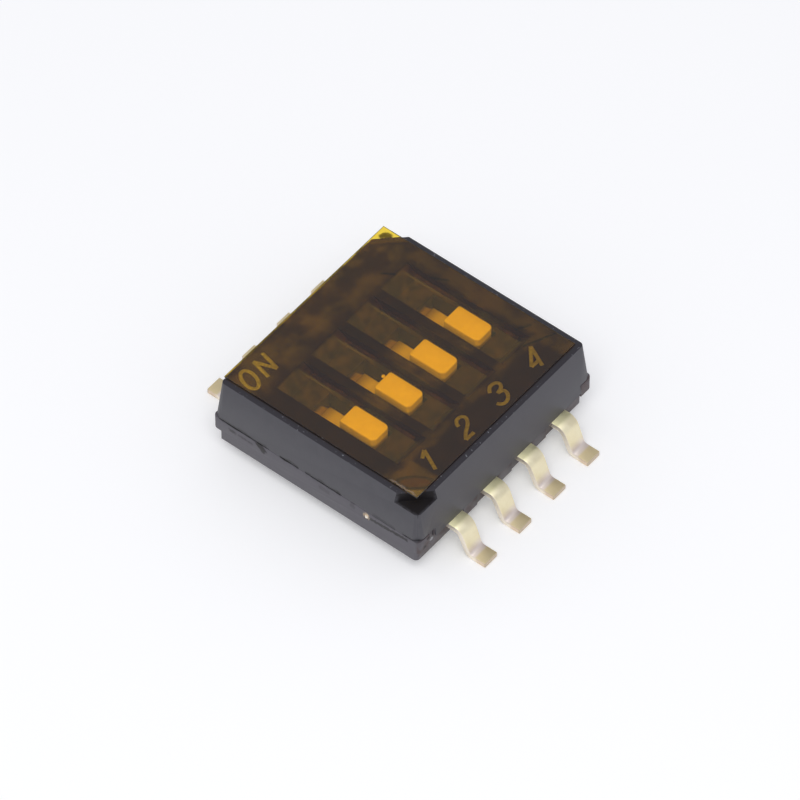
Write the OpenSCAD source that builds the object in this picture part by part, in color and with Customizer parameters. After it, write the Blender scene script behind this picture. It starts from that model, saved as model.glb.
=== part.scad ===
// Four-position surface-mount slide switch block, with gull-wing leads and a seal tape.
// The row of switches runs along X, the sliders move along Y, and the solder feet stand on Z = 0.

/* [Switch row] */
// Distance from one switch to the next
pitch = 1.27; // [1.24:0.01:1.5]
// Thickness of the wall between two sliders
partition_t = 0.2; // [0.12:0.01:0.24]
// Gap on each side of a slider's carrier
side_gap = 0.045; // [0.02:0.005:0.07]

/* [Cover] */
// Width of the cover's top, from lead side to lead side
cover_w = 5.8; // [5.6:0.05:6.6]
// Length of the cover's top beyond the outer switches' share of the row
end_margin = 0.52; // [0.5:0.01:0.8]
// Height of the cover on the lead sides
cover_h = 1.39; // [1.32:0.01:1.7]
// Height of the cover's end walls
cover_end_h = 1.13; // [1:0.01:1.2]
// Slope of the cover's outer walls, in degrees
draft = 7.2; // [2:0.1:9]
// Thickness of the cover's walls at the top
cover_wall = 0.42; // [0.34:0.01:0.44]
// Thickness of the cover's top
cover_top_t = 0.87; // [0.8:0.01:0.9]
// Radius of the cover's upright corners at the top
corner_r = 0.1; // [0.05:0.01:0.2]
// Legs of the two cut corners
cut_leg = 0.62; // [0.4:0.01:0.9]
// Depth of the cut at the left front corner
cut_d_left = 0.33; // [0.2:0.01:0.6]
// Depth of the cut at the right back corner
cut_d_right = 0.5; // [0.2:0.01:0.6]

/* [Windows] */
// Width of the recess round each knob
recess_w = 1; // [0.85:0.01:1.1]
// Length of the recess round each knob
recess_l = 3.64; // [3:0.02:4.2]
// Depth of the recess round each knob
recess_d = 0.37; // [0.2:0.01:0.5]
// Length of the slope at each end of a recess
recess_ramp = 0.3; // [0.05:0.01:0.5]
// Width of the slot that a knob slides in
slot_w = 0.76; // [0.7:0.01:0.84]
// Length of the slot that a knob slides in
slot_l = 1.86; // [1.75:0.01:2]

/* [Sliders] */
// Width of a knob
knob_w = 0.6; // [0.4:0.01:0.66]
// Length of a knob along its travel
knob_l = 1.02; // [0.9:0.01:1.1]
// Radius of a knob's upright edges
knob_r = 0.09; // [0.04:0.01:0.15]
// Drop of a knob's top below the cover's top
knob_drop = 0.07; // [0.03:0.01:0.2]
// Gap between a knob and each end of its slot
stop_gap = 0.01; // [0.01:0.005:0.06]
// Thickness of the carrier under a knob
carrier_t = 0.24; // [0.16:0.01:0.27]
// Length of the carrier that stays under the slot's end at each limit
carrier_lap = 0.06; // [0.03:0.01:0.1]
// Gap between the carrier and the cover above it
slide_gap = 0.02; // [0.01:0.005:0.04]

/* [Base] */
// Height of the base's underside above the solder feet
standoff = 0.38; // [0.2:0.01:0.5]
// Thickness of the base's floor
floor_t = 0.45; // [0.35:0.01:0.6]
// Distance of the base's sides inside the cover's lower edge
base_inset = 0.09; // [0.05:0.01:0.15]
// Height of the flange that closes each end
flange_h = 0.4; // [0.3:0.01:0.5]
// Length of the flange from its end face
flange_l = 0.4; // [0.3:0.01:0.5]
// Gap that shows between the end walls and the flange
seam_gap = 0.03; // [0.01:0.005:0.06]
// Gap between the inner frame and the cover's walls
fit_gap = 0.03; // [0.01:0.005:0.06]
// Radius of the base's upright corners
base_r = 0.12; // [0.03:0.01:0.2]
// Length of the step that is cut from two lower corners
step_l = 0.38; // [0.2:0.01:0.5]
// Width of the step that is cut from two lower corners
step_w = 0.24; // [0.15:0.01:0.35]
// Width of the block that keys the cover to the base
key_w = 0.18; // [0.1:0.01:0.25]
// Distance of the key block from the middle of the row
key_x = 2.72; // [2.68:0.01:2.8]
// Height of the key block above the base's floor
key_h = 0.24; // [0.1:0.01:0.35]
// How far the side ribs between leads stand out
rib_proud = 0.03; // [0.02:0.005:0.04]
// Gap between a side rib and the lead next to it
rib_gap = 0.12; // [0.08:0.01:0.2]

/* [Leads] */
// Thickness of the lead strip
lead_t = 0.15; // [0.1:0.01:0.2]
// Width of a lead at the body
lead_w = 0.52; // [0.4:0.01:0.56]
// Width of a solder foot
foot_w = 0.45; // [0.35:0.01:0.5]
// Straight length of a lead from the cover's edge to its first bend
shoulder_l = 0.145; // [0.08:0.005:0.3]
// Length of a solder foot
foot_l = 0.365; // [0.3:0.005:0.6]
// Radius of the upper bend, at the middle of the strip
shoulder_r = 0.22; // [0.15:0.01:0.26]
// Radius of the lower bend, at the middle of the strip
heel_r = 0.18; // [0.13:0.01:0.22]
// Slope of a lead between its bends, in degrees
lead_slope = 68; // [55:1:80]

/* [Contacts] */
// Width of the fixed contact pad at a lead's inner end
pad_w = 0.6; // [0.54:0.01:0.7]
// Distance from a slider's middle to each point where its spring touches
touch_y = 0.62; // [0.55:0.01:0.7]
// Length of pad beyond the point that always touches
pad_lap = 0.1; // [0.05:0.01:0.2]
// Distance of the open point from its pad when a switch is off
break_gap = 0.21; // [0.1:0.01:0.3]
// Thickness of the contact spring
spring_t = 0.05; // [0.03:0.005:0.06]
// Width of the contact spring
spring_w = 0.46; // [0.3:0.01:0.5]
// Width of the split between the spring's two fingers
split_w = 0.1; // [0.05:0.01:0.16]
// Gap drawn between the spring and its pad
touch_gap = 0.01; // [0.005:0.005:0.03]
// Radius of the peg that holds the spring on its slider
peg_r = 0.08; // [0.05:0.01:0.1]

/* [Tape and tie bars] */
// Thickness of the seal tape
tape_t = 0.05; // [0.03:0.01:0.08]
// Thickness of the glue under the tape
glue_t = 0.01; // [0.005:0.005:0.02]
// Distance of the tape's edge inside the cover's edge
tape_inset = 0.15; // [0.05:0.01:0.3]
// Overhang of the tape past the cover's edge on the ON side
tape_over = 0.02; // [0:0.005:0.1]
// Side of a sheared tie bar's end
tie_w = 0.12; // [0.08:0.01:0.16]
// Distance of a tie bar from the middle of its end face
tie_y = 1.5; // [0.8:0.05:2]
// How far a tie bar's sheared end stands out of its end face
tie_proud = 0.015; // [0.005:0.005:0.03]
// Length of a tie bar
tie_l = 0.3; // [0.2:0.01:0.35]

/* [Hidden] */
switches = 4;
$fn = 48;
bend_steps = 8;
// Cutters and buried ends run this much past what they cut or join
over = 0.2;

// Heights above the solder feet
floor_z = standoff + floor_t;
lead_z = floor_z - lead_t;
top_z = floor_z + cover_h;
end_z = top_z - cover_end_h;
recess_z = top_z - recess_d;
under_z = top_z - cover_top_t;
carrier_z = under_z - slide_gap - carrier_t;
flange_z = end_z - seam_gap - flange_h;

// Half lengths along X
row_half = switches * pitch / 2;
top_half_l = row_half + end_margin;
base_half_l = top_half_l + cover_end_h * tan(draft);
inner_half_l = top_half_l - cover_wall;
flange_in = base_half_l - flange_l;

// Half widths along Y
top_half_w = cover_w / 2;
low_half_w = top_half_w + cover_h * tan(draft);
end_half_w = top_half_w + cover_end_h * tan(draft);
inner_half_w = top_half_w - cover_wall;
base_half_w = low_half_w - base_inset;

// Half sizes of the inner frame that the cover fits over
frame_half_l = inner_half_l - fit_gap;
frame_half_w = inner_half_w - fit_gap;

// Cells, sliders and their travel from OFF to ON
cell_w = pitch - partition_t;
carrier_w = cell_w - 2 * side_gap;
travel = slot_l - knob_l - 2 * stop_gap;
carrier_l = slot_l + travel + 2 * carrier_lap;
cell_l = carrier_l + travel + 2 * stop_gap;

// Leads, from the middle of the strip
bend_y = low_half_w + shoulder_l;
strip_z = lead_z + lead_t / 2;
foot_z = lead_t / 2;
slope_l = (strip_z - foot_z - (shoulder_r + heel_r) * (1 - cos(lead_slope))) / sin(lead_slope);
foot_y = bend_y + (shoulder_r + heel_r) * sin(lead_slope) + slope_l * cos(lead_slope);
tip_y = foot_y + foot_l;
front_pad_y = touch_y - travel / 2 - pad_lap;
rear_pad_y = touch_y - travel / 2 + break_gap;
pad_end_y = cell_l / 2 + fit_gap;

// Contact spring
spring_z = carrier_z - spring_t;
touch_z = floor_z + touch_gap;
spring_flat = touch_y / 2;
spring_tip = touch_y * 1.3;

function switch_x(k) = (k - (switches + 1) / 2) * pitch;

// A rectangle with round corners, centred
module round_rect(length, width, r) {
    square([length - 2 * r, width], center = true);
    square([length, width - 2 * r], center = true);
    for (x = [-1, 1], y = [-1, 1])
        translate([x * (length / 2 - r), y * (width / 2 - r)]) circle(r);
}

// A bar with two sloping sides, its top at height 0, as long as twice the given length
module sloped_section(half, h, long) {
    grow = h * tan(draft);
    linear_extrude(2 * long, center = true)
        polygon([[-half, 0], [half, 0], [half + grow, -h], [-half - grow, -h]]);
}

// A block with four sloping sides and round upright corners; half sizes are those of its top
module drafted_block(half_l, half_w, h, r) {
    grow = h * tan(draft);
    difference() {
        intersection() {
            rotate([90, 0, 0]) sloped_section(half_l, h, half_w + grow + over);
            rotate([90, 0, 90]) sloped_section(half_w, h, half_l + grow + over);
        }
        for (x = [-1, 1], y = [-1, 1]) translate([x * (half_l - r), y * (half_w - r), 0])
            difference() {
                translate([x > 0 ? 0 : -r - grow - over, y > 0 ? 0 : -r - grow - over, -h - over])
                    cube([r + grow + over, r + grow + over, h + 2 * over]);
                translate([0, 0, -h - 2 * over]) cylinder(h = h + 4 * over,
                    r1 = r + (h + 2 * over) * tan(draft), r2 = r - 2 * over * tan(draft));
            }
    }
}

// What is cut away from the left front corner of the cover's top, at 45 degrees
module corner_cut(depth) {
    reach = cut_leg + over;
    translate([-top_half_l, -top_half_w, top_z - depth]) linear_extrude(depth + over)
        polygon([[-over, -over], [reach, -over], [-over, reach]]);
}

// The recess round a knob, whose floor slopes up to the cover's top at both ends
module recess() {
    end_y = recess_l / 2;
    flat_y = end_y - recess_ramp;
    open_y = end_y + over * recess_ramp / recess_d;
    translate([-recess_w / 2, 0, 0]) rotate([90, 0, 90]) linear_extrude(recess_w)
        polygon([[-flat_y, recess_z], [flat_y, recess_z], [open_y, top_z + over],
            [-open_y, top_z + over]]);
}

// Space under the left end wall, which stops higher than the side walls; the flange fills it
module end_relief() {
    translate([-base_half_l - over, -low_half_w - over, floor_z - over])
        cube([flange_l + fit_gap + over, 2 * (low_half_w + over), end_z - floor_z + over]);
}

// A block that stands on the floor slab at the left front corner; the cover is notched for it
module key_block(gap, reach) {
    translate([-key_x - key_w / 2 - gap, -reach, floor_z - over])
        cube([key_w + 2 * gap, reach - inner_half_w + fit_gap + over, key_h + over + gap]);
}

module cover() {
    color([0.17, 0.17, 0.19]) difference() {
        translate([0, 0, top_z]) drafted_block(top_half_l, top_half_w, cover_h, corner_r);
        translate([-inner_half_l, -inner_half_w, floor_z - over])
            cube([2 * inner_half_l, 2 * inner_half_w, under_z - floor_z + over]);
        for (k = [1:switches]) translate([switch_x(k), 0, 0]) {
            recess();
            translate([-slot_w / 2, -slot_l / 2, under_z - over])
                cube([slot_w, slot_l, cover_top_t + 2 * over]);
        }
        for (s = [0, 180]) rotate([0, 0, s]) {
            corner_cut(s == 0 ? cut_d_left : cut_d_right);
            end_relief();
            key_block(fit_gap, low_half_w + over);
        }
    }
}

// Outline of a lead from above, from its pad to its tip
module lead_plan(pad_y, end_y) {
    polygon([
        [-pad_w / 2, pad_y], [pad_w / 2, pad_y], [pad_w / 2, pad_end_y], [lead_w / 2, pad_end_y],
        [lead_w / 2, bend_y], [foot_w / 2, foot_y], [foot_w / 2, end_y], [-foot_w / 2, end_y],
        [-foot_w / 2, foot_y], [-lead_w / 2, bend_y], [-lead_w / 2, pad_end_y], [-pad_w / 2, pad_end_y]]);
}

// Stations along the middle of the lead strip: place outward, height and slope
function lead_line(pad_y) = concat(
    [[pad_y, strip_z, 0]],
    [for (i = [0:bend_steps]) let (a = lead_slope * i / bend_steps)
        [bend_y + shoulder_r * sin(a), strip_z - shoulder_r * (1 - cos(a)), a]],
    [for (i = [bend_steps:-1:0]) let (a = lead_slope * i / bend_steps)
        [foot_y - heel_r * sin(a), foot_z + heel_r * (1 - cos(a)), a]],
    [[tip_y, foot_z, 0]]);

// The lead strip seen from the side, as a closed outline
function lead_outline(line) = concat(
    [for (p = line) [p[0] + lead_t / 2 * sin(p[2]), p[1] + lead_t / 2 * cos(p[2])]],
    [for (i = [len(line) - 1:-1:0]) let (p = line[i])
        [p[0] - lead_t / 2 * sin(p[2]), p[1] - lead_t / 2 * cos(p[2])]]);

// Places of the leads: 1 to 4 along the numbered side, 5 to 8 back along the ON side
function lead_x(n) = n <= switches ? switch_x(n) : switch_x(2 * switches + 1 - n);
function lead_turn(n) = n <= switches ? 180 : 0;
function lead_pad(n) = n <= switches ? front_pad_y : rear_pad_y;

module terminal(n) {
    color([0.86, 0.82, 0.68]) translate([lead_x(n), 0, 0]) rotate([0, 0, lead_turn(n)]) intersection() {
        rotate([90, 0, 90]) linear_extrude(2 * pad_w, center = true)
            polygon(lead_outline(lead_line(lead_pad(n))));
        translate([0, 0, -over]) linear_extrude(floor_z + 2 * over) lead_plan(lead_pad(n), tip_y);
    }
}

module base() {
    rib_w = pitch - lead_w - 2 * rib_gap;
    color([0.14, 0.14, 0.16]) difference() {
        union() {
            // Floor slab, and the ribs on its sides between the leads
            translate([0, 0, standoff]) linear_extrude(floor_t) {
                round_rect(2 * base_half_l, 2 * base_half_w, base_r);
                for (k = [1:switches - 1])
                    translate([(k - switches / 2) * pitch - rib_w / 2, -base_half_w - rib_proud])
                        square([rib_w, 2 * (base_half_w + rib_proud)]);
            }
            // Flange that closes each end, round at its two outer corners
            translate([0, 0, flange_z]) linear_extrude(flange_h) difference() {
                round_rect(2 * base_half_l, 2 * end_half_w, base_r);
                square([2 * flange_in, 2 * (end_half_w + over)], center = true);
            }
            // Inner frame that the cover fits over
            translate([-frame_half_l, -frame_half_w, standoff])
                cube([2 * frame_half_l, 2 * frame_half_w, under_z - slide_gap - standoff]);
            for (s = [0, 180]) rotate([0, 0, s]) key_block(0, base_half_w);
        }
        for (k = [1:switches]) translate([switch_x(k) - cell_w / 2, -cell_l / 2, floor_z])
            cube([cell_w, cell_l, under_z]);
        // Steps in two of the lower corners
        for (s = [0, 180]) rotate([0, 0, s])
            translate([-base_half_l - over, end_half_w - step_w, standoff - over])
                cube([step_l + over, step_w + over, flange_z - standoff + over]);
        // Seats of the leads and the tie bars, which are moulded in
        for (n = [1:2 * switches]) translate([lead_x(n), 0, lead_z]) rotate([0, 0, lead_turn(n)])
            linear_extrude(lead_t) lead_plan(lead_pad(n), tip_y);
        for (s = [0, 180]) rotate([0, 0, s]) tie_bar();
    }
}

// A tie bar of the lead frame, sheared off at the left end face
module tie_bar() {
    translate([-base_half_l - tie_proud, -tie_y - tie_w / 2, flange_z + (flange_h - tie_w) / 2])
        cube([tie_l + tie_proud, tie_w, tie_w]);
}

module tie_bar_left() { color([0.85, 0.68, 0.45]) tie_bar(); }
module tie_bar_right() { color([0.85, 0.68, 0.45]) rotate([0, 0, 180]) tie_bar(); }

// A slider in its OFF place, towards the numbers
module slider(k) {
    color([0.93, 0.6, 0.08]) translate([switch_x(k), -travel / 2, 0]) {
        translate([0, 0, carrier_z]) linear_extrude(top_z - knob_drop - carrier_z)
            round_rect(knob_w, knob_l, knob_r);
        translate([-carrier_w / 2, -carrier_l / 2, carrier_z]) cube([carrier_w, carrier_l, carrier_t]);
        translate([0, 0, spring_z]) cylinder(h = spring_t + carrier_t / 2, r = peg_r);
    }
}

// The spring under a slider: flat in the middle, with two split legs that end in raised tips
module contact(k) {
    top = [[0, carrier_z], [spring_flat, carrier_z], [touch_y, touch_z + spring_t],
        [spring_tip, touch_z + 2 * spring_t]];
    outline = concat(
        [for (i = [3:-1:1]) [-top[i][0], top[i][1]]], [for (i = [1:3]) top[i]],
        [for (i = [3:-1:1]) [top[i][0], top[i][1] - spring_t]],
        [for (i = [1:3]) [-top[i][0], top[i][1] - spring_t]]);
    color([0.85, 0.65, 0.3]) translate([switch_x(k), -travel / 2, 0]) difference() {
        rotate([90, 0, 90]) linear_extrude(spring_w, center = true) polygon(outline);
        for (s = [-1, 1]) translate([-split_w / 2, s > 0 ? spring_flat : -spring_tip - over, floor_z])
            cube([split_w, spring_tip - spring_flat + over, carrier_z - floor_z + over]);
        translate([0, 0, spring_z - over]) cylinder(h = spring_t + 2 * over, r = peg_r);
    }
}

module seal_tape() {
    color([0.72, 0.5, 0.12, 0.6])
        translate([-top_half_l + tape_inset, -top_half_w + tape_inset, top_z + glue_t])
            cube([2 * (top_half_l - tape_inset), cover_w - tape_inset + tape_over, tape_t]);
}

base();
cover();
seal_tape();
for (k = [1:switches]) slider(k);
for (k = [1:switches]) contact(k);
for (n = [1:2 * switches]) terminal(n);
tie_bar_left();
tie_bar_right();
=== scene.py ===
import math

import bmesh
import bpy
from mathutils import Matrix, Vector


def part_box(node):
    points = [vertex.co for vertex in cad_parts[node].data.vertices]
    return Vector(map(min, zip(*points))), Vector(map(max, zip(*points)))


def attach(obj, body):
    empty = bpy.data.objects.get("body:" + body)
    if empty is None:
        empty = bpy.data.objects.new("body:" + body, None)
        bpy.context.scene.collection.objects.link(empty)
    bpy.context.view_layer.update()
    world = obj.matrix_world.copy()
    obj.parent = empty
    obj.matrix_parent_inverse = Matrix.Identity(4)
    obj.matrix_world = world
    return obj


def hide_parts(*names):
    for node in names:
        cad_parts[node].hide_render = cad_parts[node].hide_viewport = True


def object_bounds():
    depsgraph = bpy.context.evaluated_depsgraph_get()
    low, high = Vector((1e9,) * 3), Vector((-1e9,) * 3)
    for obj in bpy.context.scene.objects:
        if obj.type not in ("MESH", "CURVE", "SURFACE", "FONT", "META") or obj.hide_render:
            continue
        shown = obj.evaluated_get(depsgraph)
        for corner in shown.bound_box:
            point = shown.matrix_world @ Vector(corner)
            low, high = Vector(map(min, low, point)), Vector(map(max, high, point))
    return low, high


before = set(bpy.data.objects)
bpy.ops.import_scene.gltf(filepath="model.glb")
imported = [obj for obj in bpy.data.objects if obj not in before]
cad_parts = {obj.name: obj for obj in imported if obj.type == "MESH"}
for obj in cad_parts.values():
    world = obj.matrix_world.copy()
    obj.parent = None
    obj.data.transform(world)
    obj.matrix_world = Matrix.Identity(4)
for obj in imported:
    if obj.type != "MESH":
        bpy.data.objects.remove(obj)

cad_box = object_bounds()
mm = 0.001


# ---------------------------------------------------------------- Camera
# A long lens looks down on the corner between the numbered side and the left end, from well
# back, so that the sides of the block stay nearly parallel.
def aim(azimuth, elevation):
    a, e = math.radians(azimuth), math.radians(elevation)
    return Vector((math.sin(a) * math.cos(e), -math.cos(a) * math.cos(e), math.sin(e)))


toward_camera = aim(azimuth=-51.155, elevation=50.817)
look_at = Vector((-0.892, -0.635, 2.22)) * mm
camera_distance = 183.226 * mm
camera_data = bpy.data.cameras.new("camera")
camera_data.lens = 360
camera_data.sensor_width = 36
camera_data.clip_start = 10 * mm
camera_data.clip_end = 2
camera = bpy.data.objects.new("camera", camera_data)
camera.rotation_mode = "QUATERNION"
camera.location = look_at + toward_camera * camera_distance
camera.rotation_quaternion = (-toward_camera).to_track_quat("-Z", "Y")
bpy.context.scene.collection.objects.link(camera)
bpy.context.scene.camera = camera


# ---------------------------------------------------------------- Base
# The base is moulded in black glass-filled plastic round the leads. It has a floor, a frame that
# the cover fits over, a flange at each end and fine witness lines where the mould closed.
def node_copy(node, name):
    """A clean copy of a CAD node's mesh: one vertex for each corner and whole flat faces."""
    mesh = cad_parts[node].data.copy()
    mesh.name = name
    form = bmesh.new()
    form.from_mesh(mesh)
    bmesh.ops.remove_doubles(form, verts=form.verts, dist=0.0005 * mm)
    bmesh.ops.dissolve_limit(form, angle_limit=math.radians(1), verts=form.verts, edges=form.edges)
    form.to_mesh(mesh)
    form.free()
    mesh.materials.clear()
    return mesh


def mesh_from(form, name):
    mesh = bpy.data.meshes.new(name)
    form.to_mesh(mesh)
    form.free()
    return mesh


def add_piece(mesh, name, body, slot, *materials):
    piece = bpy.data.objects.new(name, mesh)
    bpy.context.scene.collection.objects.link(piece)
    for material in materials:
        mesh.materials.append(material)
    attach(piece, body)
    return piece


def ease_edges(piece, width, segments=2):
    """Rounds the sharp edges of a piece, as its mould or die does."""
    bevel = piece.modifiers.new("eased_edges", "BEVEL")
    bevel.width = width
    bevel.segments = segments
    bevel.limit_method = "ANGLE"
    bevel.angle_limit = math.radians(25)
    bevel.harden_normals = True
    piece.data.shade_smooth()
    return piece


class Finish:
    """A material with its shader, and short calls for the nodes that this switch's finishes share."""

    def __init__(self, name):
        self.material = bpy.data.materials.new(name)
        self.material.use_nodes = True
        self.nodes = self.material.node_tree.nodes
        self.links = self.material.node_tree.links
        self.shader = self.nodes["Principled BSDF"]
        self.place = self.nodes.new("ShaderNodeTexCoord").outputs["Object"]

    def join(self, source, target):
        self.links.new(source, target)

    def calc(self, operation, first, second=0.0, third=0.0, clamp=False):
        node = self.nodes.new("ShaderNodeMath")
        node.operation = operation
        node.use_clamp = clamp
        for socket, value in zip(node.inputs, (first, second, third)):
            if isinstance(value, (int, float)):
                socket.default_value = value
            else:
                self.join(value, socket)
        return node.outputs[0]

    def times(self, first, second):
        return self.calc("MULTIPLY", first, second)

    def plus(self, first, second):
        return self.calc("ADD", first, second)

    def minus(self, first, second, clamp=False):
        return self.calc("SUBTRACT", first, second, clamp=clamp)

    def larger(self, first, second):
        return self.calc("MAXIMUM", first, second)

    def absolute(self, value):
        return self.calc("ABSOLUTE", value)

    def scaled(self, value, factor, shift):
        return self.calc("MULTIPLY_ADD", value, factor, shift)

    def feed(self, name, value):
        """Joins a colour or a mask to one of the shader's inputs."""
        self.join(value, self.shader.inputs[name])

    def axes(self):
        node = self.nodes.new("ShaderNodeSeparateXYZ")
        self.join(self.place, node.inputs[0])
        return node.outputs["X"], node.outputs["Y"], node.outputs["Z"]

    def grain(self, size, detail=3.0, roughness=0.55, stretch=(1, 1, 1)):
        """Noise whose spots are about size metres across, pulled out along the stretched axes."""
        mapping = self.nodes.new("ShaderNodeMapping")
        mapping.inputs["Scale"].default_value = [1 / s for s in stretch]
        self.join(self.place, mapping.inputs["Vector"])
        noise = self.nodes.new("ShaderNodeTexNoise")
        noise.inputs["Scale"].default_value = 1 / size
        noise.inputs["Detail"].default_value = detail
        noise.inputs["Roughness"].default_value = roughness
        self.join(mapping.outputs[0], noise.inputs["Vector"])
        return noise.outputs["Fac"]

    def fade(self, value, start, end, to_start=0.0, to_end=1.0):
        node = self.nodes.new("ShaderNodeMapRange")
        node.interpolation_type = "SMOOTHSTEP"
        node.inputs["From Min"].default_value = start
        node.inputs["From Max"].default_value = end
        node.inputs["To Min"].default_value = to_start
        node.inputs["To Max"].default_value = to_end
        self.join(value, node.inputs["Value"])
        return node.outputs["Result"]

    def blend(self, amount, first, second):
        node = self.nodes.new("ShaderNodeMix")
        node.data_type = "RGBA"
        self.join(amount, node.inputs["Factor"])
        for socket, value in ((node.inputs["A"], first), (node.inputs["B"], second)):
            if isinstance(value, tuple):
                socket.default_value = (*value, 1.0)
            else:
                self.join(value, socket)
        return node.outputs["Result"]

    def bump(self, height, distance, strength=1.0):
        node = self.nodes.new("ShaderNodeBump")
        node.inputs["Strength"].default_value = strength
        node.inputs["Distance"].default_value = distance
        self.join(height, node.inputs["Height"])
        self.join(node.outputs["Normal"], self.shader.inputs["Normal"])

    def fall(self, value, start, end):
        """1 up to the start, falling to 0 at the end."""
        return self.fade(value, start, end, 1.0, 0.0)

    def any_of(self, *masks):
        total = masks[0]
        for mask in masks[1:]:
            total = self.larger(total, mask)
        return total

    def stripe(self, axis, middle, half, soft):
        """1 within half of the middle along an axis, fading to 0 over the soft width."""
        return self.fall(self.absolute(self.minus(axis, middle)), half, half + soft)

    def spot(self, axes, centre, radius, soft):
        """1 inside an ellipse on the plane of two axes, fading to 0 over its soft edge."""
        total = None
        for axis, middle, reach in zip(axes, centre, radius):
            part = self.calc("POWER", self.scaled(axis, 1 / reach, -middle / reach), 2)
            total = part if total is None else self.plus(total, part)
        return self.fall(total, 1 - soft, 1 + soft)

    def line_mark(self, axes, start, end, half, soft):
        """1 along a straight mark between two places on the plane of two axes."""
        first, second = axes
        (ax, ay), (bx, by) = start, end
        length = math.hypot(bx - ax, by - ay)
        dx, dy = (bx - ax) / length, (by - ay) / length
        along = self.plus(self.times(first, dx), self.times(second, dy))
        across = self.plus(self.times(first, -dy), self.times(second, dx))
        middle_along = ((ax + bx) * dx + (ay + by) * dy) / 2
        return self.times(self.stripe(across, ay * dx - ax * dy, half, soft),
                          self.stripe(along, middle_along, length / 2 - soft, 2 * soft))


def in_mm(*values):
    return tuple(value * mm for value in values)


base_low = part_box("base")[0]
seam_low, seam_high = in_mm(1.06, 1.09)
# Where the seam stands open on the left end: from and to along Y in millimetres, and how far.
seam_open = ((-3.0, -2.55, 0.6), (-2.35, -1.68, 0.55), (-0.75, 0.3, 1.0),
             (0.5, 1.05, 1.0), (1.45, 2.85, 0.9))


def left_end_only(finish, x):
    return finish.fall(x, base_low.x + 0.2 * mm, base_low.x + 0.3 * mm)


def open_seam(finish, x, y, z):
    """1 on the lips of the seam at the left end where it stands open: the gap's painted shade."""
    lengths = []
    for from_y, to_y, strength in seam_open:
        half = (to_y - from_y) / 2 * mm - 0.03 * mm
        lengths.append(finish.times(strength, finish.stripe(y, (from_y + to_y) / 2 * mm, half, 0.06 * mm)))
    ragged = finish.scaled(finish.grain(0.22 * mm, detail=4), 0.12 * mm, -0.06 * mm)
    lips = finish.stripe(finish.plus(z, ragged), seam_high, 0.03 * mm, 0.04 * mm)
    # The painted shade in the open gap is deeper in some places than in others.
    uneven_shade = finish.fade(finish.grain(0.3 * mm, detail=3), 0.35, 0.65, 0.45, 0.95)
    dark_lengths = finish.times(finish.any_of(*lengths), uneven_shade)
    return finish.times(dark_lengths, finish.times(lips, left_end_only(finish, x)))


base_black = Finish("base_black")
x, y, z = base_black.axes()
mottle = base_black.grain(0.35 * mm, detail=4)
fine = base_black.grain(0.03 * mm, detail=2)
tie_low, tie_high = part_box("tie_bar_left")
tie_y = (tie_low.y + tie_high.y) / 2
rough = base_black.grain(0.07 * mm, detail=3)
torn_y = base_black.plus(y, base_black.scaled(rough, 0.16 * mm, -0.08 * mm))
torn_z = base_black.plus(z, base_black.scaled(rough, 0.1 * mm, -0.05 * mm))
# Witness lines and scars on the left end, painted dark for the shade under their fins and in their
# notches: strength, then from Y, Z to Y, Z and half width in millimetres.
scars = ((0.85, -2.72, 0.96, -1.6, 0.88, 0.035), (1.0, 1.49, 0.85, 1.73, 1.09, 0.08),
         (0.5, 1.85, 0.89, 2.3, 0.9, 0.02), (0.75, 2.36, 0.89, 2.56, 0.9, 0.035),
         (0.35, -1.08, 0.88, -1.14, 1.16, 0.05), (0.3, -0.42, 0.88, -0.12, 0.9, 0.05))
marks = []
for strength, from_y, from_z, to_y, to_z, half in scars:
    mark = base_black.line_mark((torn_y, torn_z), in_mm(from_y, from_z), in_mm(to_y, to_z),
                                half * mm, 0.03 * mm)
    marks.append(base_black.times(strength, mark))
on_left_end = left_end_only(base_black, x)
witness = base_black.times(base_black.any_of(*marks), on_left_end)
# The front corner of the base is chipped: two pits painted dark with the shade in them, and one small light
# grey spot.
front = base_black.fall(y, -2.9 * mm, -2.8 * mm)
torn_x = base_black.plus(x, base_black.scaled(rough, -0.2 * mm, 0.1 * mm))
low_pit = base_black.spot((torn_x, torn_z), in_mm(-2.99, 0.76), in_mm(0.07, 0.05), 0.6)
high_pit = base_black.spot((torn_x, torn_z), in_mm(-2.85, 0.97), in_mm(0.06, 0.05), 0.6)
pit_shade = base_black.times(front, base_black.any_of(low_pit, high_pit))
light_spot = base_black.spot((torn_x, torn_z), in_mm(-2.67, 0.72), in_mm(0.06, 0.05), 0.6)
light_spot = base_black.times(front, light_spot)
# Painted shade darkens the witness lines, the pits and the lips of the open seam.
dark = base_black.any_of(witness, pit_shade, open_seam(base_black, x, y, z))
tone = base_black.blend(base_black.fade(mottle, 0.3, 0.7), (0.098, 0.092, 0.106), (0.118, 0.110, 0.126))
# A brown stain from the moulding tool runs along the sides that the leads come out of.
stain = base_black.times(base_black.fade(base_black.absolute(y), 2.95 * mm, 3.0 * mm),
                         base_black.fade(mottle, 0.4, 0.6, 0.2, 0.9))
tone = base_black.blend(light_spot, base_black.blend(stain, tone, (0.075, 0.050, 0.050)), (0.34, 0.34, 0.36))
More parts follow.
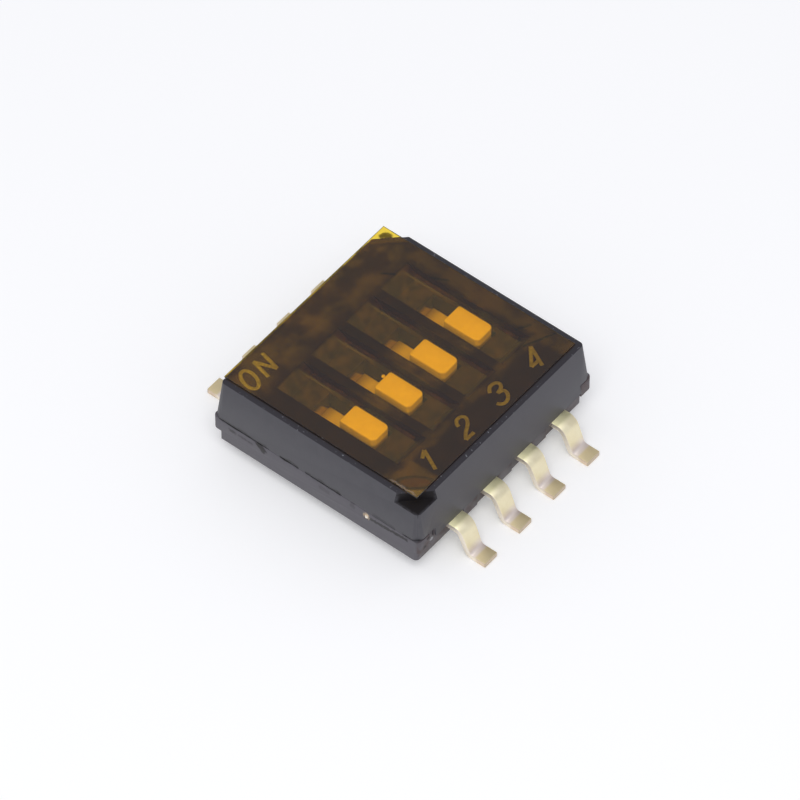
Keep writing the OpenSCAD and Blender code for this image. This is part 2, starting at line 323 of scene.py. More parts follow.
# Plating from the sheared tie bar has smeared onto the plastic round its end.
round_smear = base_black.spot((torn_y, torn_z), (tie_y - 0.01 * mm, 0.91 * mm), in_mm(0.09, 0.11), 0.5)
long_smear = base_black.line_mark((torn_y, torn_z), (tie_y + 0.03 * mm, 0.86 * mm),
                                  (tie_y - 0.06 * mm, 0.98 * mm), 0.03 * mm, 0.03 * mm)
smear = base_black.any_of(base_black.times(0.5, round_smear), long_smear)
smear = base_black.times(smear, on_left_end)
tone = base_black.blend(smear, tone, (0.80, 0.60, 0.38))
base_black.feed("Base Color", base_black.blend(dark, tone, (0.007, 0.004, 0.005)))
base_black.feed("Roughness", base_black.fade(mottle, 0.25, 0.75, 0.42, 0.56))
relief = base_black.plus(base_black.times(mottle, 0.6), base_black.times(fine, 0.4))
base_black.bump(relief, 0.012 * mm, 0.5)

base = add_piece(node_copy("base", "base_moulding"), "base_moulding", "housing", "base_plastic",
                 base_black.material)
ease_edges(base, 0.018 * mm)
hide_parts("base")

# Between the end walls and the flange the seam is open in places only: thin flash of the same
# plastic closes the rest of it on the left end.
flash_x = base_low.x + 0.066 * mm
flash_z = (seam_low + seam_high) / 2
flash_depth, flash_h = in_mm(0.12, 0.075)


def block_at(form, middle, size):
    made = bmesh.ops.create_cube(form, size=1)["verts"]
    bmesh.ops.scale(form, verts=made, vec=size)
    bmesh.ops.translate(form, verts=made, vec=middle)


form = bmesh.new()
for from_y, to_y in (in_mm(-2.6, -0.78), in_mm(0.3, 0.5), in_mm(1.05, 1.38)):
    block_at(form, (flash_x, (from_y + to_y) / 2, flash_z), (flash_depth, to_y - from_y, flash_h))
# At the front corner flash has also run up the gap between the cover and the block that keys it.
block_at(form, in_mm(-2.613, -2.95, 0.965), in_mm(0.05, 0.16, 0.27))
bmesh.ops.bevel(form, geom=form.edges, offset=0.006 * mm, offset_type="OFFSET", segments=1, profile=0.5,
                affect="EDGES", material=-1)
add_piece(mesh_from(form, "seam_flash"), "seam_flash", "housing", "base_plastic", base_black.material)


# ---------------------------------------------------------------- Leads and tie bars
# The eight leads are stamped and formed into gull wings, then tin-plated all over. The plating on
# their sheared sides is bright and a little warmer, and their toes are dulled by handling.
lead_tin = Finish("lead_tin")
lead_tin.shader.inputs["Metallic"].default_value = 1.0
x, y, z = lead_tin.axes()
dull = lead_tin.grain(0.22 * mm, detail=4)
brushed = lead_tin.grain(0.02 * mm, detail=2, stretch=(1, 8, 8))
plate = lead_tin.blend(lead_tin.fade(dull, 0.3, 0.7), (0.95, 0.86, 0.60), (1.0, 0.93, 0.69))
outward = lead_tin.absolute(y)
near_heel = lead_tin.stripe(outward, 3.76 * mm, 0.07 * mm, 0.1 * mm)
heel = lead_tin.times(near_heel, lead_tin.fall(z, 0.3 * mm, 0.45 * mm))
toe = lead_tin.fade(outward, 3.79 * mm, 3.88 * mm)
# Painted light: the root of each lead, next to the body, is painted brighter and yellower to lift the shade
# that the body casts there.
root_lift = lead_tin.fall(outward, 3.2 * mm, 3.36 * mm)
plate = lead_tin.blend(root_lift, plate, (1.0, 0.95, 0.62))
plate = lead_tin.blend(heel, plate, (0.87, 0.78, 0.72))
plate = lead_tin.blend(toe, plate, (0.82, 0.70, 0.44))
lead_tin.feed("Base Color", plate)
lead_tin.feed("Roughness", lead_tin.fade(dull, 0.3, 0.7, 0.48, 0.6))
lead_tin.bump(brushed, 0.004 * mm, 0.35)

sheared_plate = Finish("sheared_plate")
sheared_plate.shader.inputs["Metallic"].default_value = 1.0
torn = sheared_plate.grain(0.03 * mm, detail=3, stretch=(4, 4, 1))
x, y, z = sheared_plate.axes()
outward = sheared_plate.absolute(y)
side_tone = sheared_plate.blend(torn, (0.90, 0.81, 0.67), (1.0, 0.93, 0.82))
on_foot = sheared_plate.fade(outward, 3.78 * mm, 3.95 * mm)
side_tone = sheared_plate.blend(on_foot, side_tone, (0.78, 0.64, 0.49))
on_end = sheared_plate.fade(outward, 4.09 * mm, 4.12 * mm)
side_tone = sheared_plate.blend(on_end, side_tone, (0.60, 0.50, 0.38))
sheared_plate.feed("Base Color", side_tone)
sheared_plate.shader.inputs["Roughness"].default_value = 0.45
sheared_plate.bump(torn, 0.006 * mm, 0.5)

for number in range(1, 9):
    name = f"lead_{number}"
    mesh = node_copy(f"terminal_{number}", name)
    lead = add_piece(mesh, name, "housing", "lead_metal", lead_tin.material, sheared_plate.material)
    for face in mesh.polygons:
        on_side = abs(face.normal.x) > 0.8
        on_foot_end = abs(face.normal.y) > 0.9 and face.center.z < 0.3 * mm
        if on_side or on_foot_end:
            face.material_index = 1
    ease_edges(lead, 0.018 * mm)
    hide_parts(f"terminal_{number}")

# The tie bars held the lead frame while the base was moulded. Each was sheared off flush with
# its end face, and its torn end is a small bright dot.
for side, turn in (("left", 1), ("right", -1)):
    name = f"tie_end_{side}"
    corner_low, corner_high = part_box(f"tie_bar_{side}")
    form = bmesh.new()
    block_at(form, (0, 0, 0), corner_high - corner_low)
    outer = [e for e in form.edges if all(v.co.x * turn < 0 for v in e.verts)
             or abs(e.verts[0].co.x - e.verts[1].co.x) > 0.1 * mm]
    bmesh.ops.bevel(form, geom=outer, offset=0.055 * mm, offset_type="OFFSET", segments=4, profile=0.5,
                    affect="EDGES", material=-1)
    bmesh.ops.translate(form, verts=form.verts, vec=(corner_low + corner_high) / 2)
    tie_end = add_piece(mesh_from(form, name), name, "housing", "tie_metal", sheared_plate.material)
    tie_end.data.shade_smooth()
    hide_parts(f"tie_bar_{side}")


# ---------------------------------------------------------------- Contacts
# Under each slider a gold-plated spring with two split legs bridges the pads of its two leads.
# The springs are bare CAD shapes, seen only when the cover is off.
spring_gold = Finish("spring_gold")
spring_gold.shader.inputs["Metallic"].default_value = 1.0
shine = spring_gold.grain(0.15 * mm)
spring_gold.feed("Base Color", spring_gold.blend(shine, (0.83, 0.60, 0.22), (0.92, 0.72, 0.33)))
spring_gold.feed("Roughness", spring_gold.fade(shine, 0.3, 0.7, 0.22, 0.34))
for number in range(1, 5):
    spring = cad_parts[f"contact_{number}"]
    for material_slot in spring.material_slots:
        material_slot.material = spring_gold.material


# ---------------------------------------------------------------- Sliders
# Each slider is moulded in one piece: a carrier that slides under the cover, a small square knob
# in the window, and a peg that holds its spring. All four are in the OFF place.
knob_amber = Finish("knob_amber")
tint = knob_amber.grain(0.12 * mm, detail=4)
speckle = knob_amber.grain(0.018 * mm, detail=2)
x, y, z = knob_amber.axes()
cover_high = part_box("cover")[1]
window_floor = cover_high.z - 0.37 * mm
slider_low, slider_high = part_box("slider_1")
# Painted shade: a band round the knob where it meets the window's floor, and the carrier's top towards both
# ends of the slider.
foot_shade = knob_amber.times(knob_amber.stripe(z, window_floor, 0.03 * mm, 0.1 * mm), 0.75)
amber = knob_amber.blend(knob_amber.fade(tint, 0.3, 0.7), (0.95, 0.73, 0.025), (1.0, 0.79, 0.035))
carrier_face = knob_amber.fall(z, window_floor - 0.45 * mm, window_floor - 0.35 * mm)
away = knob_amber.absolute(knob_amber.minus(y, (slider_low.y + slider_high.y) / 2))
carrier_end_shade = knob_amber.times(carrier_face, knob_amber.fade(away, 0.98 * mm, 1.4 * mm, 0.0, 0.72))
shade = knob_amber.larger(foot_shade, carrier_end_shade)
knob_amber.feed("Base Color", knob_amber.blend(shade, amber, (0.10, 0.05, 0.012)))
knob_amber.feed("Roughness", knob_amber.fade(tint, 0.3, 0.7, 0.5, 0.62))
knob_amber.bump(knob_amber.plus(tint, knob_amber.times(speckle, 0.5)), 0.01 * mm, 0.4)

knob_w, knob_l, knob_rim = in_mm(0.60, 1.02, 0.03)
carrier_t, spring_t = in_mm(0.24, 0.05)
peg_r, peg_h = in_mm(0.08, 0.1)
# The knob's upright corners are rounder on the side towards OFF.
corner_radii = ((-1, 0.13 * mm), (1, 0.06 * mm))


def upright(edge):
    return abs(edge.verts[0].co.z - edge.verts[1].co.z) > 0.1 * mm


for number in range(1, 5):
    name = f"slider_part_{number}"
    slider_low, slider_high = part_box(f"slider_{number}")
    middle_x = (slider_low.x + slider_high.x) / 2
    middle_y = (slider_low.y + slider_high.y) / 2
    carrier_z = slider_low.z + spring_t + carrier_t / 2
    form = bmesh.new()
    block_at(form, (middle_x, middle_y, (carrier_z + slider_high.z) / 2),
             (knob_w, knob_l, slider_high.z - carrier_z))
    for side, radius in corner_radii:
        corners = [e for e in form.edges if upright(e) and e.calc_length() > 0.5 * mm
                   and abs(e.verts[0].co.x - middle_x) > 0.29 * mm
                   and (e.verts[0].co.y - middle_y) * side > 0.3 * mm]
        bmesh.ops.bevel(form, geom=corners, offset=radius, offset_type="OFFSET", segments=4, profile=0.5,
                        affect="EDGES", material=-1)
    rim = [e for e in form.edges if all(abs(v.co.z - slider_high.z) < 0.001 * mm for v in e.verts)]
    bmesh.ops.bevel(form, geom=rim, offset=knob_rim, offset_type="OFFSET", segments=3, profile=0.5,
                    affect="EDGES", material=-1)
    block_at(form, (middle_x, middle_y, carrier_z),
             (slider_high.x - slider_low.x, slider_high.y - slider_low.y, carrier_t))
    peg = bmesh.ops.create_cone(form, cap_ends=True, segments=24, radius1=peg_r, radius2=peg_r, depth=peg_h)
    bmesh.ops.translate(form, verts=peg["verts"], vec=(middle_x, middle_y, slider_low.z + peg_h / 2))
    slider = add_piece(mesh_from(form, name), name, f"actuator_{number}", "knob_plastic",
                       knob_amber.material)
    slider.data.shade_smooth()
    slider.data.set_sharp_from_angle(angle=math.radians(35))
    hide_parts(f"slider_{number}")

# The second knob came out of its mould with a crumb of flash on its edge towards ON.
second_low, second_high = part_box("slider_2")
crumb_r = 0.05 * mm
crumb_x = (second_low.x + second_high.x) / 2 + 0.105 * mm
crumb_y = (second_low.y + second_high.y) / 2 + knob_l / 2 + crumb_r
form = bmesh.new()
bmesh.ops.create_icosphere(form, subdivisions=3, radius=crumb_r)
bmesh.ops.scale(form, verts=form.verts, vec=(1.0, 0.8, 0.7))
bmesh.ops.translate(form, verts=form.verts, vec=(crumb_x, crumb_y, second_high.z - 0.04 * mm))
crumb = add_piece(mesh_from(form, "knob_crumb"), "knob_crumb", "actuator_2", "knob_plastic",
                  knob_amber.material)
crumb.data.shade_smooth()


# ---------------------------------------------------------------- Cover
# The cover is moulded in the same black plastic, with a window for each knob and two cut corners.
# Its walls are satin, and its top, windows and cut corners come from a polished mould.
cover_black = Finish("cover_black")
x, y, z = cover_black.axes()
mottle = cover_black.grain(0.4 * mm, detail=5)
fine = cover_black.grain(0.03 * mm, detail=2)
drag = cover_black.grain(0.06 * mm, detail=2, stretch=(1, 1, 12))
tone = cover_black.blend(cover_black.fade(mottle, 0.3, 0.7), (0.062, 0.060, 0.070), (0.078, 0.075, 0.086))
# The lips of the open seam are painted dark with the gap's shade.
seam_lips = open_seam(cover_black, x, y, z)
cover_black.feed("Base Color", cover_black.blend(seam_lips, tone, (0.004, 0.004, 0.005)))
cover_black.feed("Roughness", cover_black.fade(mottle, 0.25, 0.75, 0.42, 0.54))
small_relief = cover_black.plus(cover_black.times(fine, 0.3), cover_black.times(drag, 0.3))
cover_black.bump(cover_black.plus(cover_black.times(mottle, 0.6), small_relief), 0.012 * mm, 0.5)

polished_black = Finish("polished_black")
x, y, z = polished_black.axes()
cloud = polished_black.fade(polished_black.grain(0.6 * mm, detail=3), 0.3, 0.7)
tape_low, tape_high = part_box("seal_tape")
top = polished_black.fade(z, cover_high.z - 0.06 * mm, cover_high.z - 0.02 * mm)
pitch = 1.27 * mm


# Glue has wetted the film onto most of the flat top, which looks dark there. Over the middle of
# the ribs, along three edges of the windows and at one corner there is air under the film, and
# the plastic there is painted brown for the light that the air gap sends back.
def dry_film(finish, x, y):
    """1 where there is air under the film on the cover's flat top, less where glue is patchy."""
    creep = finish.scaled(finish.grain(0.45 * mm, detail=3), 0.5 * mm, -0.25 * mm)
    corner_x = finish.plus(x, finish.times(creep, 0.5))
    streaks = finish.fade(finish.grain(0.11 * mm, detail=3, stretch=(1, 7, 7)), 0.38, 0.6, 0.4, 1.0)
    x, y = finish.plus(x, creep), finish.minus(y, creep)
    ribs = finish.times(finish.stripe(y, -0.3 * mm, 0.5 * mm, 0.4 * mm),
                        finish.stripe(x, 0, 2.3 * mm, 0.1 * mm))
    ribs = finish.times(ribs, streaks)
    front_corner = finish.times(finish.fall(corner_x, -2.2 * mm, -2.06 * mm),
                                finish.fall(y, -1.95 * mm, -1.8 * mm))
    back_band = finish.fade(y, 1.6 * mm, 2.25 * mm)
    right_band = finish.times(finish.fade(x, 2.38 * mm, 2.6 * mm, 0.0, 0.7),
                              finish.stripe(y, -0.4 * mm, 2.4 * mm, 0.3 * mm))
    front_band = finish.times(finish.stripe(y, -1.88 * mm, 0.05 * mm, 0.15 * mm), 0.65)
    free_tips = finish.fade(finish.absolute(finish.plus(x, y)), 5.05 * mm, 5.15 * mm)
    patchy = finish.fade(finish.grain(0.7 * mm, detail=4), 0.38, 0.58, 0.2, 1.0)
    bands = finish.times(patchy, finish.any_of(ribs, back_band, right_band, front_band))
    return finish.any_of(bands, front_corner, free_tips)


def across_switch(finish, x):
    """How far along the row a place is from the middle of its own switch."""
    return finish.minus(finish.calc("FLOORED_MODULO", x, pitch), pitch / 2)


def turned(finish, x, y):
    """Plan coordinates turned so that one runs nearly along the front corner's cut and one inward."""
    along = finish.plus(finish.times(x, 0.627), finish.times(y, -0.779))
    inward = finish.plus(finish.times(x, 0.779), finish.times(y, 0.627))
    return along, inward


patches = polished_black.fade(polished_black.grain(0.3 * mm, detail=5), 0.36, 0.66)
# Painted light: the windows' floors and the dry parts of the flat top are painted brown for the light that
# the air gap under the film sends back.
floor_gap_light = polished_black.blend(patches, (0.027, 0.013, 0.010), (0.070, 0.036, 0.015))
wet = polished_black.blend(cloud, (0.020, 0.012, 0.012), (0.030, 0.017, 0.016))
dry_gap_light = polished_black.blend(cloud, (0.048, 0.026, 0.016), (0.076, 0.041, 0.022))
flat = polished_black.blend(dry_film(polished_black, x, y), wet, dry_gap_light)
# A drop of gum with a dark rim lies under the film at the front corner.
along, inward = turned(polished_black, x, y)
gum_centre = in_mm(0.28, -3.53)
gum = polished_black.spot((along, inward), gum_centre, in_mm(0.36, 0.13), 0.25)
gum_and_rim = polished_black.spot((along, inward), gum_centre, in_mm(0.47, 0.21), 0.15)
flat = polished_black.blend(gum, flat, (0.062, 0.022, 0.018))
gum_rim = polished_black.minus(gum_and_rim, gum, clamp=True)
flat = polished_black.blend(gum_rim, flat, (0.018, 0.007, 0.007))
# Dark lines edge the pockets of air near the right end.
pocket_lines = (((1.75, 2.1), (2.15, 1.5)), ((2.15, 1.5), (2.6, 0.7)),
                ((2.2, -1.3), (2.75, -1.6)), ((2.1, -1.85), (2.9, -2.2)))
pocket_edges = polished_black.any_of(*[
    polished_black.line_mark((x, y), in_mm(*start), in_mm(*end), 0.015 * mm, 0.03 * mm)
    for start, end in pocket_lines])
flat = polished_black.blend(pocket_edges, flat, (0.003, 0.002, 0.004))
# The margins outside the film are bare and a little scuffed.
film_edge = 0.01 * mm
bare = polished_black.any_of(
    polished_black.fall(x, tape_low.x - film_edge, tape_low.x),
    polished_black.fade(x, tape_high.x, tape_high.x + film_edge),
    polished_black.fall(y, tape_low.y - film_edge, tape_low.y),
    polished_black.fade(y, tape_high.y, tape_high.y + film_edge))
specks = polished_black.fade(polished_black.grain(0.05 * mm, detail=2), 0.68, 0.72)
scuffs = polished_black.blend(specks, (0.046, 0.043, 0.050), (0.32, 0.33, 0.36))
flat = polished_black.blend(bare, flat, scuffs)
# A window's wall on the right lies in its own shade.
from_middle = across_switch(polished_black, x)
under_floor = polished_black.fall(z, cover_high.z - 0.42 * mm, cover_high.z - 0.39 * mm)
shaded = polished_black.any_of(
    polished_black.fade(from_middle, 0.49 * mm, 0.497 * mm),
    polished_black.times(under_floor, polished_black.fade(from_middle, 0.365 * mm, 0.375 * mm)))
deep = polished_black.blend(shaded, floor_gap_light, (0.030, 0.009, 0.012))
# Painted light and shade: the far end wall of each slot is painted bright amber at its foot, fading to dark
# brown towards the top, up to a slanting edge.
glow_slant = 0.77
glow_edge = glow_slant * (cover_high.z - 0.45 * mm)
end_wall_glow = polished_black.times(polished_black.stripe(y, 0.96 * mm, 0.04 * mm, 0.06 * mm), under_floor)
glow_limit = polished_black.scaled(z, glow_slant, from_middle)
end_wall_glow = polished_black.times(end_wall_glow, polished_black.fall(glow_limit, glow_edge - 0.03 * mm,
                                                          glow_edge + 0.03 * mm))
glow_height = polished_black.fade(z, cover_high.z - 0.70 * mm, cover_high.z - 0.46 * mm)
glow_colour = polished_black.blend(glow_height, (0.66, 0.45, 0.035), (0.050, 0.024, 0.011))
deep = polished_black.blend(end_wall_glow, deep, glow_colour)
# The cut corners are in deep shade. The mould polish stops short of their edges, which are rough
# and pick up more light.
corner = polished_black.fade(polished_black.absolute(polished_black.plus(x, y)), 4.9 * mm, 5.0 * mm)
rim = polished_black.any_of(
    polished_black.fall(along, -0.16 * mm, -0.05 * mm), polished_black.fade(along, 0.67 * mm, 0.76 * mm),
    polished_black.fall(x, -3.09 * mm, -3.02 * mm), polished_black.fall(y, -2.94 * mm, -2.87 * mm))
ragged = polished_black.fade(polished_black.grain(0.08 * mm, detail=3), 0.35, 0.6, 0.3, 1.0)
corner_tone = polished_black.blend(polished_black.times(rim, ragged), (0.016, 0.014, 0.015),
                                   (0.062, 0.060, 0.068))
deep = polished_black.blend(corner, deep, corner_tone)
polished_black.feed("Base Color", polished_black.blend(top, deep, flat))
polished_black.shader.inputs["Roughness"].default_value = 0.4
polished_black.shader.inputs["Specular IOR Level"].default_value = 0.1
polished_black.bump(polished_black.grain(0.05 * mm), 0.002 * mm, 0.1)

cover_mesh = node_copy("cover", "cover_moulding")
cover = add_piece(cover_mesh, "cover_moulding", "housing", "cover_plastic",
                  cover_black.material, polished_black.material)
for face in cover_mesh.polygons:
    middle, normal = face.center, face.normal
    in_windows = abs(middle.x) < 2.5 * mm and abs(middle.y) < 1.95 * mm
    aslant = abs(abs(normal.x) - abs(normal.y)) < 0.05
    in_cut_corner = aslant and middle.z > cover_high.z - 0.39 * mm
    if normal.z > 0.9 or in_windows or in_cut_corner:
        face.material_index = 1
ease_edges(cover, 0.014 * mm)
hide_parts("cover")


# ---------------------------------------------------------------- Print
# ON and the numbers are thin white ink, printed on the cover before the tape goes on. Each
# letter leans to the right and is drawn with one even stroke.
print_ink = Finish("print_ink")
coverage = print_ink.fade(print_ink.grain(0.05 * mm, detail=4), 0.35, 0.65)
print_ink.feed("Base Color", print_ink.blend(coverage, (0.22, 0.21, 0.20), (0.36, 0.35, 0.34)))
print_ink.shader.inputs["Roughness"].default_value = 0.6

stroke_w, ink_t = in_mm(0.096, 0.006)
ring_points = 12


def ink_strokes(name, strokes):
    """A letter's strokes, each a smooth line through its points in millimetres, as flat ink."""
    curve = bpy.data.curves.new(name, "CURVE")
    curve.dimensions = "3D"
    curve.bevel_depth = stroke_w / 2
    curve.bevel_resolution = 2
    curve.use_fill_caps = True
    curve.resolution_u = 6
    for kind, points in strokes:
        spline = curve.splines.new("POLY" if kind == "straight" else "NURBS")
        spline.points.add(len(points) - 1)
        for point, (px, py) in zip(spline.points, points):
            point.co = (px * mm, py * mm, 0, 1)
        if kind == "ring":
            spline.use_cyclic_u = True
        if kind != "straight":
            spline.order_u = 3
            spline.use_endpoint_u = kind == "curved"
    drawn = bpy.data.objects.new(name, curve)
    bpy.context.scene.collection.objects.link(drawn)
    mesh = bpy.data.meshes.new_from_object(drawn)
    bpy.data.objects.remove(drawn)
    mesh.name = name
    form = bmesh.new()
    form.from_mesh(mesh)
    bmesh.ops.scale(form, verts=form.verts, vec=(1, 1, ink_t / stroke_w))
    bmesh.ops.translate(form, verts=form.verts, vec=(0, 0, cover_high.z + ink_t / 2))
    bmesh.ops.recalc_face_normals(form, faces=form.faces)
    form.to_mesh(mesh)
    form.free()
    return mesh


def ring(centre_x, centre_y, half_w, half_h, lean):
    """Points round a leaning oval."""
    shear = math.tan(math.radians(lean))
    points = []
    for step in range(ring_points):
        turn = 2 * math.pi * step / ring_points
        up = half_h * math.sin(turn)
        points.append((centre_x + half_w * math.cos(turn) + up * shear, centre_y + up))
    return points


# Each stroke is a ring, a curve or a straight line, through points in millimetres.
letters = {
    "print_on": (
        ("ring", ring(-2.605, 2.415, half_w=0.175, half_h=0.30, lean=13)),
        ("straight", ((-2.266, 2.134), (-2.14, 2.69))),
        ("straight", ((-2.14, 2.69), (-1.945, 2.134))),
        ("straight", ((-1.945, 2.134), (-1.814, 2.696)))),
    "print_1": (
        ("straight", ((-1.93, -2.12), (-1.71, -2.0))),
        ("straight", ((-1.71, -2.0), (-1.986, -2.556)))),
    "print_2": (
        ("curved", ((-0.678, -2.186), (-0.642, -2.057), (-0.462, -2.005), (-0.345, -2.117),
                    (-0.462, -2.298), (-0.75, -2.427), (-0.876, -2.556))),
        ("straight", ((-0.876, -2.556), (-0.588, -2.56)))),
    "print_3": (
        ("curved", ((0.543, -2.126), (0.639, -2.005), (0.83, -2.005), (0.925, -2.109),
                    (0.83, -2.247), (0.648, -2.264))),
        ("curved", ((0.648, -2.264), (0.81, -2.281), (0.81, -2.437), (0.658, -2.575),
                    (0.448, -2.575), (0.40, -2.437)))),
    "print_4": (
        ("straight", ((2.06, -2.40), (1.75, -2.385))),
        ("straight", ((1.75, -2.385), (2.215, -1.995))),
        ("straight", ((2.215, -1.995), (1.94, -2.556)))),
}
for name, strokes in letters.items():
    add_piece(ink_strokes(name, strokes), name, "housing", "cover_plastic", print_ink.material)


# ---------------------------------------------------------------- Seal tape
# A clear amber polyimide film keeps flux out of the windows until the board is washed. It sticks
# to the cover's top, and its corners hang free over the two cut corners.
film_colour = (0.92, 0.67, 0.05)
film_half_colour = tuple(c ** 0.5 for c in film_colour)
amber_film = Finish("amber_film")
amber_film.shader.inputs["Base Color"].default_value = (*film_colour, 1.0)
amber_film.shader.inputs["Transmission Weight"].default_value = 1.0
amber_film.shader.inputs["IOR"].default_value = 1.54
amber_film.shader.inputs["Roughness"].default_value = 0.05
amber_film.bump(amber_film.grain(1.2 * mm, detail=1), 0.01 * mm, 0.3)
x, y, z = amber_film.axes()
from_middle = across_switch(amber_film, x)
along, inward = turned(amber_film, x, y)


def layered(finish, under, over, amount):
    """One shader mixed over another."""
    mix = finish.nodes.new("ShaderNodeMixShader")
    finish.join(amount, mix.inputs["Fac"])
    finish.join(under, mix.inputs[1])
    finish.join(over, mix.inputs[2])
    return mix.outputs[0]


def matt(finish, colour):
    coat = finish.nodes.new("ShaderNodeBsdfDiffuse")
    coat.inputs["Color"].default_value = (*colour, 1.0)
    return coat.outputs[0]


# Where glue joins the film to the cover there is no air gap to shine on its underside. Glue has
# also crept over the right edge of each window.
beside_knob = amber_film.stripe(from_middle, -0.12 * mm, 0.37 * mm, 0.03 * mm)
in_row = amber_film.times(amber_film.stripe(x, 0, 2.4 * mm, 0.02 * mm),
                          amber_film.stripe(y, 0, 1.75 * mm, 0.05 * mm))
window = amber_film.times(beside_knob, in_row)
glued = amber_film.minus(1.0, amber_film.any_of(window, dry_film(amber_film, x, y)))
underside = amber_film.calc("LESS_THAN", z, (tape_low.z + tape_high.z) / 2)
ray = amber_film.nodes.new("ShaderNodeLightPath")
lets_through = amber_film.larger(ray.outputs["Is Shadow Ray"], amber_film.times(glued, underside))
clear = amber_film.nodes.new("ShaderNodeBsdfTransparent")
clear.inputs["Color"].default_value = (*film_half_colour, 1.0)
film = layered(amber_film, amber_film.shader.outputs[0], clear.outputs[0], lets_through)
# The free tip at the front is scuffed, and it scatters a little golden light over the dark notch.
# A bead of glue along the right edge of each window does the same, more faintly.
glue_bead = amber_film.times(amber_film.stripe(from_middle, 0.20 * mm, 0.01 * mm, 0.035 * mm),
                             amber_film.stripe(y, 1.05 * mm, 0.3 * mm, 0.35 * mm))
front_haze = amber_film.fade(inward, -3.82 * mm, -3.74 * mm, 0.45, 0.0)
haze = amber_film.any_of(front_haze, amber_film.times(glue_bead, 0.14))
film = layered(amber_film, film, matt(amber_film, (0.30, 0.18, 0.045)), haze)
# Dirt has stuck to the glue under the free tip at the back, and here and there along the ON edge.
uneven = amber_film.scaled(amber_film.grain(0.09 * mm, detail=3), 0.16 * mm, -0.08 * mm)
smudge = amber_film.spot((along, amber_film.plus(inward, uneven)), in_mm(-0.40, 3.80),
                         in_mm(0.16, 0.08), 0.5)
blotches = amber_film.fade(amber_film.grain(0.5 * mm, detail=4), 0.4, 0.6, 0.3, 0.95)
on_edge = amber_film.fade(y, tape_high.y - 0.05 * mm, tape_high.y - 0.02 * mm)
on_edge = amber_film.times(on_edge, amber_film.fall(x, 2.2 * mm, 2.35 * mm))
dirt = amber_film.any_of(smudge, amber_film.times(on_edge, blotches))
film = layered(amber_film, film, matt(amber_film, (0.15, 0.105, 0.018)), amber_film.times(dirt, 0.8))
# A thin white streak is painted along the film's edge beside the front tip, as a highlight.
ragged_x = amber_film.plus(x, amber_film.times(uneven, 0.7))
edge_highlight = amber_film.times(amber_film.stripe(ragged_x, tape_low.x + 0.035 * mm, 0.01 * mm, 0.025 * mm),
                           amber_film.stripe(y, -2.32 * mm, 0.3 * mm, 0.12 * mm))
film = layered(amber_film, film, matt(amber_film, (0.42, 0.33, 0.29)), amber_film.times(edge_highlight, 0.27))
amber_film.join(film, amber_film.nodes["Material Output"].inputs["Surface"])

# The glue line shows as a thin dark edge on the two sides where the film lies flat on the cover.
glue_edge = Finish("glue_edge")
dust = glue_edge.fade(glue_edge.grain(0.05 * mm, detail=3), 0.66, 0.72)
glue_edge.feed("Base Color", glue_edge.blend(dust, (0.02, 0.016, 0.014), (0.5, 0.48, 0.44)))
glue_edge.shader.inputs["Roughness"].default_value = 0.5

tape = add_piece(node_copy("seal_tape", "seal_film"), "seal_film", "housing", "tape_film",
                 amber_film.material, glue_edge.material)
for face in tape.data.polygons:
    if face.normal.x < -0.9 or face.normal.y < -0.9:
        face.material_index = 1
ease_edges(tape, 0.008 * mm)
tape.data.shade_flat()
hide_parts("seal_tape")


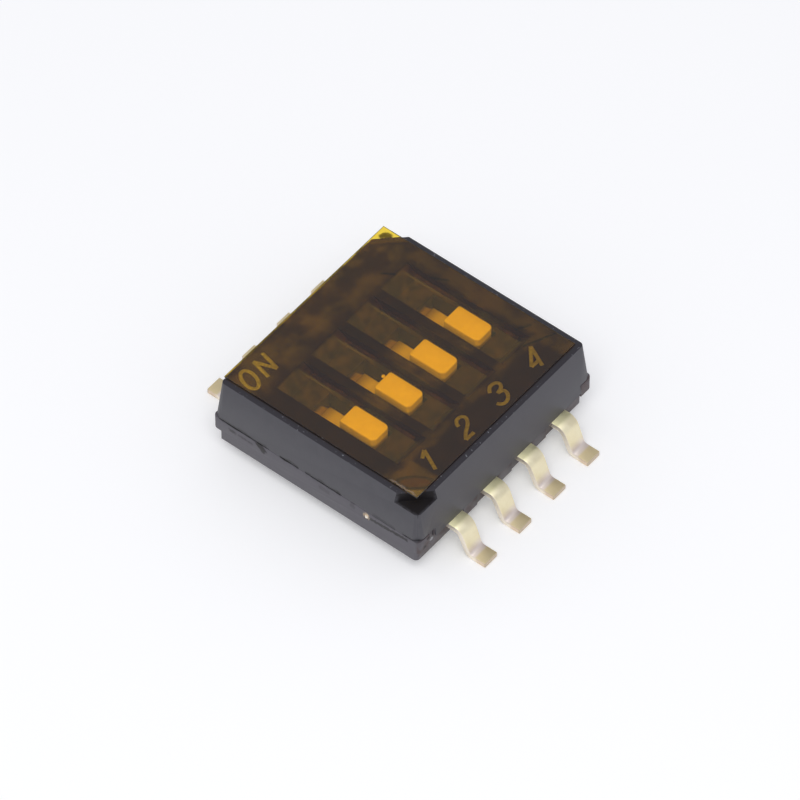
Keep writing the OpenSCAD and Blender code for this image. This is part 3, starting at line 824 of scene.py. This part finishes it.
# ---------------------------------------------------------------- Floor, lamps and world
# A plain white floor and a soft, nearly even light from above and from the camera's left.
floor_reach = 1.5
floor_drop = 0.002 * mm
ground = bmesh.new()
bmesh.ops.create_grid(ground, x_segments=1, y_segments=1, size=floor_reach)
floor = bpy.data.objects.new("floor", mesh_from(ground, "floor"))
floor.location = (0, 0, cad_box[0].z - floor_drop)
bpy.context.scene.collection.objects.link(floor)
floor_paper = Finish("floor_paper")
floor_paper.shader.inputs["Base Color"].default_value = (0.86, 0.86, 0.86, 1)
floor_paper.shader.inputs["Roughness"].default_value = 0.9
floor_paper.shader.inputs["Specular IOR Level"].default_value = 0.0
glow = floor_paper.nodes.new("ShaderNodeEmission")
glow.inputs["Color"].default_value = (1, 1, 1, 1)
ray = floor_paper.nodes.new("ShaderNodeLightPath")
mirrored = floor_paper.larger(ray.outputs["Is Glossy Ray"], ray.outputs["Is Transmission Ray"])
seen = floor_paper.larger(ray.outputs["Is Camera Ray"], mirrored)
floor_paper.join(floor_paper.times(seen, 0.25), glow.inputs["Strength"])
both = floor_paper.nodes.new("ShaderNodeAddShader")
floor_paper.join(floor_paper.shader.outputs[0], both.inputs[0])
floor_paper.join(glow.outputs[0], both.inputs[1])
floor_paper.join(both.outputs[0], floor_paper.nodes["Material Output"].inputs["Surface"])
floor.data.materials.append(floor_paper.material)

world = bpy.data.worlds.new("studio")
world.use_nodes = True
bpy.context.scene.world = world
studio = world.node_tree
sky = studio.nodes["Background"]
sky.inputs["Color"].default_value = (0.93, 0.94, 1.0, 1)
sky.inputs["Strength"].default_value = 0.6
white = studio.nodes.new("ShaderNodeBackground")
white.inputs["Color"].default_value = (1, 1, 1, 1)
white.inputs["Strength"].default_value = 1.0
ray = studio.nodes.new("ShaderNodeLightPath")
choose = studio.nodes.new("ShaderNodeMixShader")
studio.links.new(ray.outputs["Is Camera Ray"], choose.inputs["Fac"])
studio.links.new(sky.outputs[0], choose.inputs[1])
studio.links.new(white.outputs[0], choose.inputs[2])
studio.links.new(choose.outputs[0], studio.nodes["World Output"].inputs["Surface"])


def soft_lamp(name, azimuth, elevation, distance, size, power):
    data = bpy.data.lights.new(name, "AREA")
    data.size = size
    data.energy = power
    lamp = bpy.data.objects.new(name, data)
    direction = aim(azimuth, elevation)
    lamp.location = direction * distance
    lamp.rotation_mode = "QUATERNION"
    lamp.rotation_quaternion = (-direction).to_track_quat("-Z", "Y")
    bpy.context.scene.collection.objects.link(lamp)


soft_lamp("lamp_left", azimuth=-55, elevation=64, distance=120 * mm, size=70 * mm, power=0.05)

bpy.context.scene.view_settings.view_transform = "Standard"
